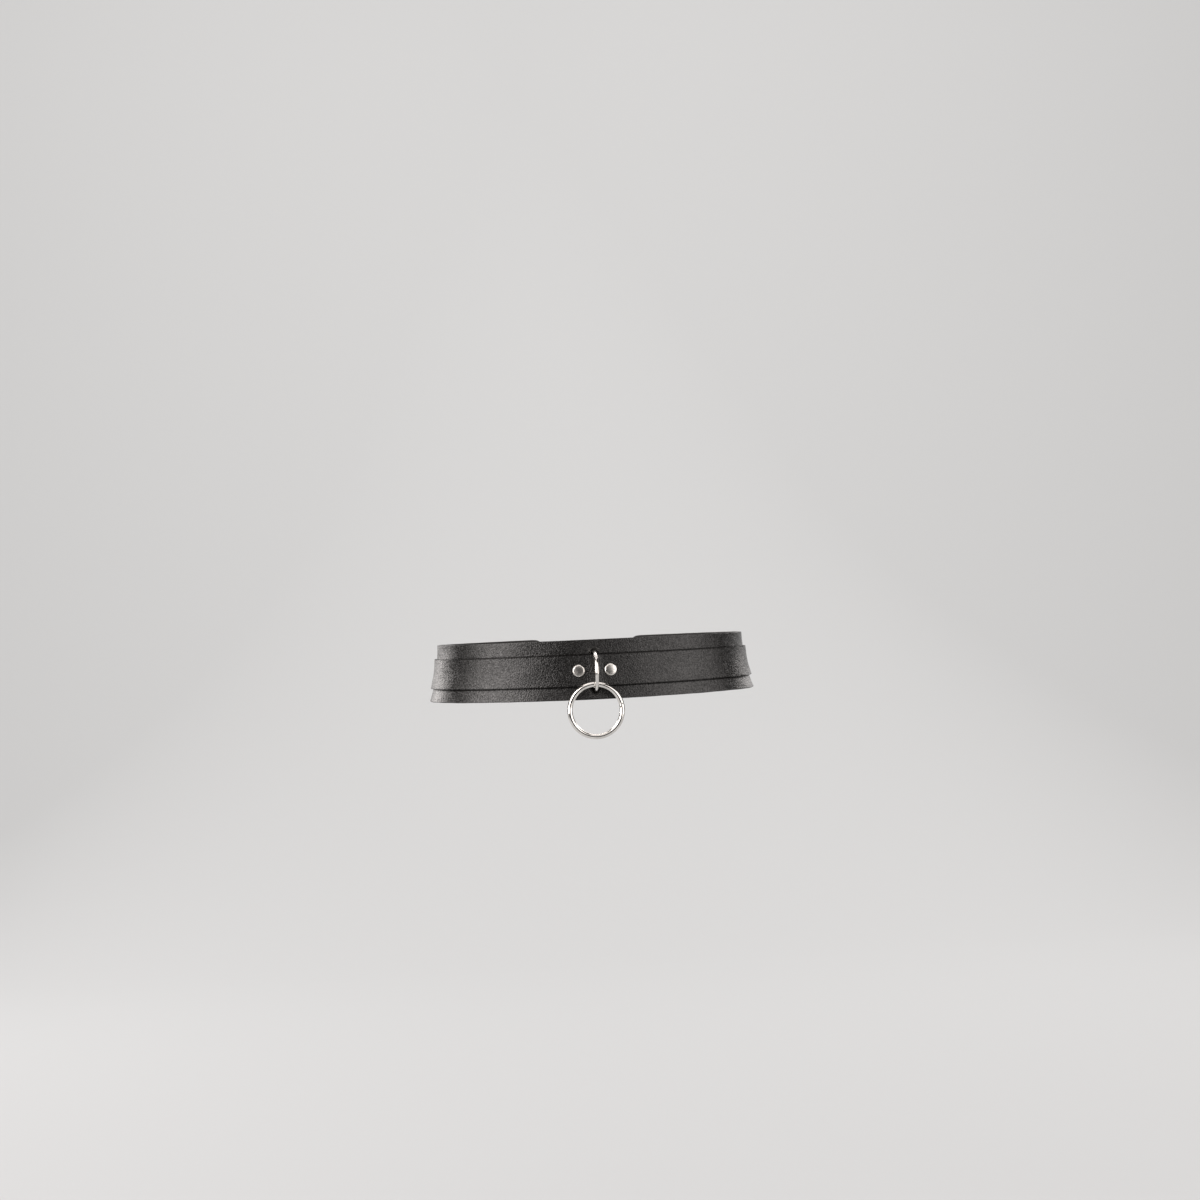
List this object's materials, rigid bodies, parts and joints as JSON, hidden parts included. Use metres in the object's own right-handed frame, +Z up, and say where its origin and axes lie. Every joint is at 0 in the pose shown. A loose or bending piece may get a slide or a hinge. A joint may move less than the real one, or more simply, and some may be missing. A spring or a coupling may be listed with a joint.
{
  "type": "waist belt",
  "caption": "Wide black leather waist belt with a narrower strap over its middle, a D-shaped wire ring and a hanging round ring at the front, and a plain buckle behind.",
  "frame": {"origin": "middle of the waist loop at the strap's mid height, where the belt sits on a waist", "axes": "+X to the right as seen from the front, +Y towards the buckle at the back, +Z up"},
  "size_m": [0.2584, 0.2014, 0.0744],
  "materials": {
    "band_leather": "black, fine pebbled grain, semi-gloss",
    "strap_leather": "black, fine pebbled grain, semi-gloss",
    "ring_nickel": "polished nickel plate",
    "rivet_nickel": "nickel plate, slightly brushed top",
    "buckle_nickel": "satin nickel plate"
  },
  "bodies": {
    "belt": {"waist_band": "band_leather", "front_strap": "strap_leather", "rivet_left": "rivet_nickel", "rivet_right": "rivet_nickel", "band_rivet_left": "rivet_nickel", "band_rivet_right": "rivet_nickel", "back_buckle": "buckle_nickel"},
    "d_ring": {"d_ring": "ring_nickel"},
    "o_ring": {"o_ring": "ring_nickel"}
  },
  "joints": [
    {"name": "d_ring_swing", "type": "hinge", "parent": "belt", "child": "d_ring", "pos_m": [0, -0.08709, -0.00059], "axis": [0, 0.0544, 0.9985], "range_deg": [-7, 7]},
    {"name": "o_ring_swing", "type": "hinge", "parent": "d_ring", "child": "o_ring", "pos_m": [0.00046, -0.09421, -0.01031], "axis": [1, 0, 0], "range_deg": [-165, 1]}
  ]
}
